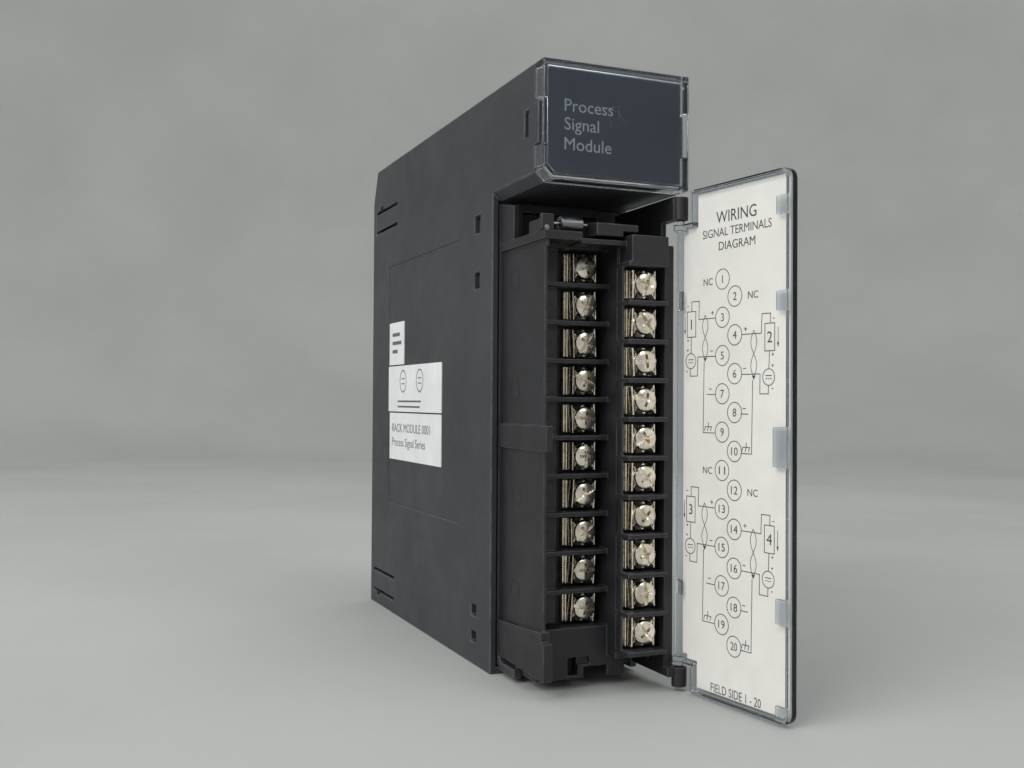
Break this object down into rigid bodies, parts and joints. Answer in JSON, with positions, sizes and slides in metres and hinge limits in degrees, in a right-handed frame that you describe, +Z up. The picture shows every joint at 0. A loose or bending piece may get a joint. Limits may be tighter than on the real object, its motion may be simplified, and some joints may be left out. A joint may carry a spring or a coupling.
{
  "type": "plug-in plc module",
  "caption": "Plug-in rack module for a programmable controller, with a hinged clear-plastic terminal door standing open over a stepped, removable screw-terminal block.",
  "frame": {"origin": "centre of the flat underside of the main box, which is 34 mm wide and 97.7 mm deep", "axes": "+Z up the module, +Y towards the rear that plugs into the rack, -Y towards the front with the terminals, +X to the right as seen from the front"},
  "size_m": [0.0385, 0.1559, 0.13],
  "materials": {
    "case_plastic": "charcoal moulded plastic, fine grain",
    "block_plastic": "near-black moulded plastic, satin",
    "connector_plastic": "dark grey moulded plastic",
    "clear_plastic": "clear moulded plastic, glossy",
    "insert_plastic": "dark slate plate behind the lens, with pale lettering",
    "board": "green solder mask on glass-fibre board",
    "chip_plastic": "black moulded package",
    "ferrite": "dark ferrite and varnished winding",
    "can_aluminium": "drawn can",
    "led_plastic": "diffused lens, unlit",
    "side_label": "white printed film",
    "door_label": "off-white printed card",
    "terminal_nickel": "nickel plate, slightly warm",
    "pin_steel": "bright ground steel"
  },
  "bodies": {
    "module": {"housing_shell": "case_plastic", "lens_cover": "clear_plastic", "lens_insert": "insert_plastic", "indicator_board": "board", "status_led_upper": "led_plastic", "status_led_lower": "led_plastic", "front_bezel": "case_plastic", "circuit_board": "board", "terminal_header": "connector_plastic", "backplane_connector": "connector_plastic", "isolation_transformer_1": "ferrite", "isolation_transformer_2": "ferrite", "isolation_transformer_3": "ferrite", "isolation_transformer_4": "ferrite", "processor_chip": "chip_plastic", "output_driver_chip": "chip_plastic", "supply_capacitor": "can_aluminium", "rear_cap": "case_plastic", "side_label_small": "side_label", "side_label_upper": "side_label", "side_label_lower": "side_label"},
    "release_lever": {"release_lever": "case_plastic"},
    "terminal_block": {"terminal_block_housing": "block_plastic", "terminal_block_socket": "connector_plastic", "terminal_01": "terminal_nickel", "terminal_02": "terminal_nickel", "terminal_03": "terminal_nickel", "terminal_04": "terminal_nickel", "terminal_05": "terminal_nickel", "terminal_06": "terminal_nickel", "terminal_07": "terminal_nickel", "terminal_08": "terminal_nickel", "terminal_09": "terminal_nickel", "terminal_10": "terminal_nickel", "terminal_11": "terminal_nickel", "terminal_12": "terminal_nickel", "terminal_13": "terminal_nickel", "terminal_14": "terminal_nickel", "terminal_15": "terminal_nickel", "terminal_16": "terminal_nickel", "terminal_17": "terminal_nickel", "terminal_18": "terminal_nickel", "terminal_19": "terminal_nickel", "terminal_20": "terminal_nickel", "lever_pivot_pin": "pin_steel", "pull_tab": "block_plastic", "pull_tab_rivet": "pin_steel", "roller_pin": "pin_steel"},
    "jacking_lever": {"jacking_lever": "block_plastic"},
    "latch_roller": {"latch_roller": "pin_steel"},
    "door": {"door_cover": "clear_plastic", "door_label": "door_label"}
  },
  "joints": [
    {"name": "terminal_block_swing", "type": "hinge", "parent": "module", "child": "terminal_block", "pos_m": [0, -0.05685, 0.0027], "axis": [1, 0, 0], "range_deg": [0, 10]},
    {"name": "door_swing", "type": "hinge", "parent": "terminal_block", "child": "door", "pos_m": [0.0154, -0.07545, 0.05], "axis": [0, 0, 1], "range_deg": [-97.5, 37.5]},
    {"name": "jacking_lever_lift", "type": "hinge", "parent": "terminal_block", "child": "jacking_lever", "pos_m": [0, -0.05885, 0.0974], "axis": [-1, 0, 0], "range_deg": [0, 18]},
    {"name": "latch_roller_spin", "type": "hinge", "parent": "terminal_block", "child": "latch_roller", "pos_m": [-0.00775, -0.06935, 0.0978], "axis": [1, 0, 0], "continuous": true},
    {"name": "release_lever_press", "type": "hinge", "parent": "module", "child": "release_lever", "pos_m": [0, 0.03015, 0.0032], "axis": [1, 0, 0], "range_deg": [0, 8], "stiffness_Nm_per_rad": 0.02, "springref_deg": -5.73}
  ]
}
